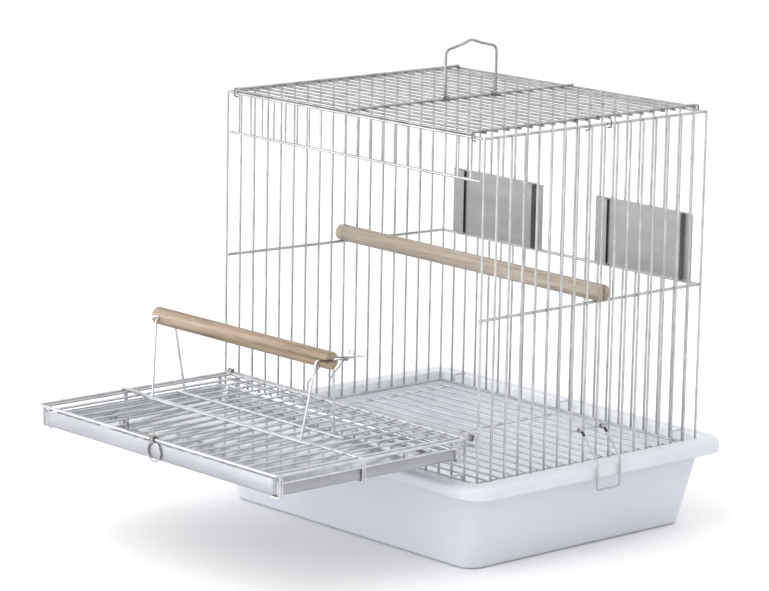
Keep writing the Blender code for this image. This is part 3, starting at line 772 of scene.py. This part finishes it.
def make_stand():
    low = box("perch_stand")[0]
    z = Z_HINGE + THIN + GAP + STAND_R
    hook_x = low.x + STAND_R
    hook_y = CROSS_Y - 2.6
    bm = bmesh.new()
    add_wire(bm, (
        (hook_x, hook_y, low.z + 0.2), (hook_x, hook_y, z), (STAND_LEFT - 20.0, hook_y, z),
        (STAND_LEFT + 2.0, STAND_FRONT, z), (STAND_RIGHT + 4.0, STAND_FRONT, z),
    ), STAND_R, 12, STAND_BEND)
    path = ((STAND_LEFT - 4.0, STAND_BACK, z), (STAND_RIGHT + 4.0, STAND_BACK, z))
    add_wire(bm, path, STAND_R, 12)
    for x, lean in ((STAND_LEFT, 6.0), (STAND_RIGHT, -8.0)):
        add_wire(bm, (
            (x + lean, STAND_FRONT, z), (x, STAND_Y - STAND_SPREAD, STAND_TOP),
            (x, STAND_Y + STAND_SPREAD, STAND_TOP), (x + lean, STAND_BACK, z),
        ), STAND_R, 12, STAND_BEND)
    y = STAND_Y + STAND_SPREAD
    tip = (STAND_RIGHT + 38.0, y, STAND_TOP + 8.0)
    add_wire(bm, ((STAND_RIGHT, y, STAND_TOP), tip), 0.8, 10)
    ring = (STAND_RIGHT + 22.0, y, STAND_TOP + 7.3)
    add_ring(bm, ring, (1, 0, 0), (0, 0, 1), 2.9, 0.7, 24)
    piece("perch_stand_wires", bm, WIRE_PAINTED_LIGHT, "door", ("perch_stand",))


def saw(obj, place, material):
    """Cuts the slot that starts at place's origin and runs along its X axis."""
    cutter = bmesh.new()
    reach = PERCH_R + 3.0
    add_box(cutter, (-3.0, SLOT_DEEP), (-reach, reach), (-SLOT_HALF, SLOT_HALF))
    cutter.transform(place)
    tool = link(obj.name + "_saw", cutter, material)
    modifier = obj.modifiers.new("saw", "BOOLEAN")
    modifier.operation = "DIFFERENCE"
    modifier.solver = "EXACT"
    modifier.object = tool
    bpy.context.view_layer.update()
    evaluated = obj.evaluated_get(bpy.context.evaluated_depsgraph_get())
    cut = bpy.data.meshes.new_from_object(evaluated)
    obj.modifiers.clear()
    obj.data = cut
    bpy.data.objects.remove(tool)


def make_stick(name, start, end, slot_axis, material, body, node):
    """A turned stick with eased ends and a slot sawn across each of them."""
    start = Vector(start)
    end = Vector(end)
    along = (end - start).normalized()
    third = along.cross(Vector(slot_axis)).normalized()
    across = third.cross(along).normalized()
    profile = ((0.0, 0.86), (0.35, 0.94), (1.0, 1.0), (SLOT_DEEP, 1.0))
    loops = []
    for at, radius in profile:
        loops.append(circle(start + along * at, across, third, PERCH_R * radius, STICK_SIDES))
    for at, radius in reversed(profile):
        loops.append(circle(end - along * at, across, third, PERCH_R * radius, STICK_SIDES))
    bm = bmesh.new()
    add_loops(bm, loops)
    obj = link(name, bm, material, 50.0)
    for tip, inward in ((start, along), (end, -along)):
        place = Matrix((inward, across, third)).transposed().to_4x4()
        place.translation = tip
        saw(obj, place, material)
    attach(obj, body)
    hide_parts(node)


def make_perches():
    low, high = box("stage_perch")
    y = (low.y + high.y) / 2
    z = (low.z + high.z) / 2
    make_stick("stage_perch_stick", (low.x, y, z), (high.x, y, z), (0, 1, 0),
               PERCH_WOOD, "door", "stage_perch")
    y = wire_y(PERCH_ROW)
    rest = Z_MID_RAIL + THICK + GAP + PERCH_R - PERCH_NOTCH
    start, end = [Vector((side * HALF_W, y, rest + mid_rise(side, y))) for side in (-1, 1)]
    over = (end - start).normalized() * PERCH_OVER
    make_stick("interior_perch_stick", start - over, end + over, (0, 0, 1),
               INNER_WOOD, "inside_perch", "interior_perch")


# ---- latches --------------------------------------------------------------------------
RING_R = 8.3
RING_GAP = 0.55  # radians left open at each side of the ring's neck
RING_STEPS = 28
LATCH_SHOULDER = 83.0
LATCH_Y = 13.5


def make_ring():
    """A pear-shaped ring hung from the door's free edge."""
    low, high = box("latch_ring")
    pivot = joint_at("latch_hinge")
    centre_z = low.z + 0.8 + RING_R
    neck = pivot.z - 2.9
    path = [(-0.9, pivot.y, neck)]
    for k in range(RING_STEPS + 1):
        angle = math.pi / 2 + RING_GAP + (2 * math.pi - 2 * RING_GAP) * k / RING_STEPS
        path.append((RING_R * math.cos(angle), pivot.y, centre_z + RING_R * math.sin(angle)))
    path.append((0.9, pivot.y, neck))
    bm = bmesh.new()
    add_wire(bm, path, 1.0, 10)
    add_wire(bm, ((0, pivot.y, pivot.z + 2.4), (0, pivot.y, high.z)), 0.8, 10)
    piece("latch_ring_wire", bm, WIRE, "door_latch", ("latch_ring",))
    bm = bmesh.new()
    add_coil(bm, (0, pivot.y, pivot.z), (1, 0, 0), THICK + 1.2, 0.8, 3.0, 1.6)
    piece("latch_ring_knot", bm, KNOT, "door_latch")


def make_loop(word, side):
    """The wire loop over the tray's rim, with a dark sleeve on each end."""
    node = "side_latch_" + word
    low, high = box(node)
    pivot = joint_at("loop_hinge_" + word)
    x_out = side * (max(abs(low.x), abs(high.x)) - THIN)
    start = side * (abs(pivot.x) + 1.9)
    bottom = low.z + THIN
    hang = pivot.z - 0.6
    path = [
        (start, -LATCH_Y, hang), (x_out, -LATCH_Y, LATCH_SHOULDER), (x_out, -LATCH_Y, bottom),
        (x_out, LATCH_Y, bottom), (x_out, LATCH_Y, LATCH_SHOULDER), (start, LATCH_Y, hang),
    ]
    bm = bmesh.new()
    add_wire(bm, path, THIN, 12, 3.0)
    for y in (-LATCH_Y, LATCH_Y):
        add_coil(bm, pivot + Vector((0, y, 0)), (0, 1, 0), 2.0, 0.65, 3.0, 1.4)
    piece(node + "_wire", bm, WIRE, "loop_" + word, (node,))
    bm = bmesh.new()
    for y in (-LATCH_Y, LATCH_Y):
        upper = (start + side * 0.6, y, pivot.z - 1.0)
        lower = (start + side * 4.0, y, pivot.z - 4.6)
        add_wire(bm, (upper, lower), 1.2, 12)
    piece(node + "_sleeves", bm, RUBBER, "loop_" + word)


# ---- studio -----------------------------------------------------------------------------
FLOOR_HALF = 6000.0
AIM = Vector((0.0, -0.1, 0.2))  # metres
LAMPS = (  # name, place in metres, size in metres, watts
    ("key", (0.4, -2.0, 3.0), 2.4, 26.0),
    ("fill", (-1.1, -2.6, 0.35), 2.4, 60.0),
    ("rim", (-0.8, 2.4, 2.4), 1.6, 6.0),
)


def make_studio():
    bm = bmesh.new()
    add_box(bm, (-FLOOR_HALF, FLOOR_HALF), (-FLOOR_HALF, FLOOR_HALF), (-8.0, -0.4))
    material, tree, shader = new_material("floor")
    noise = add_noise(tree, 1.5, 3.0)
    stops = ((0.3, (0.90, 0.90, 0.90)), (0.7, (0.93, 0.93, 0.93)))
    ramp = add_ramp(tree, noise.outputs["Fac"], stops)
    tree.links.new(ramp.outputs["Color"], shader.inputs["Base Color"])
    shader.inputs["Roughness"].default_value = 0.9
    link("floor", bm, material)
    world = bpy.data.worlds.new("studio")
    bpy.context.scene.world = world
    world.use_nodes = True
    background = world.node_tree.nodes["Background"]
    background.inputs["Color"].default_value = (1.0, 1.0, 1.0, 1.0)
    background.inputs["Strength"].default_value = 1.12
    for name, place, size, power in LAMPS:
        data = bpy.data.lights.new(name, "AREA")
        data.size = size
        data.energy = power
        lamp = bpy.data.objects.new(name, data)
        bpy.context.scene.collection.objects.link(lamp)
        lamp.location = place
        lamp.rotation_euler = (AIM - Vector(place)).to_track_quat("-Z", "Y").to_euler()
    bpy.context.scene.view_settings.view_transform = "Standard"


make_tray()
make_grating()
make_side("wall_left", -1)
make_side("wall_right", 1)
make_back()
make_strip("header_band", (Z_HEAD_RAIL, Z_TOP_RAIL), Z_HEAD_RAIL, Z_TOP_RAIL)
make_strip("front_band", (Z_LOW_RAIL, Z_BAND_RAIL, Z_HINGE), Z_FOOT, Z_HINGE)
make_top()
dress_feeders()
make_handle()
make_door()
make_brackets()
make_knots()
make_pan()
make_stand()
make_perches()
make_ring()
make_loop("left", -1)
make_loop("right", 1)
make_studio()

bpy.context.view_layer.update()
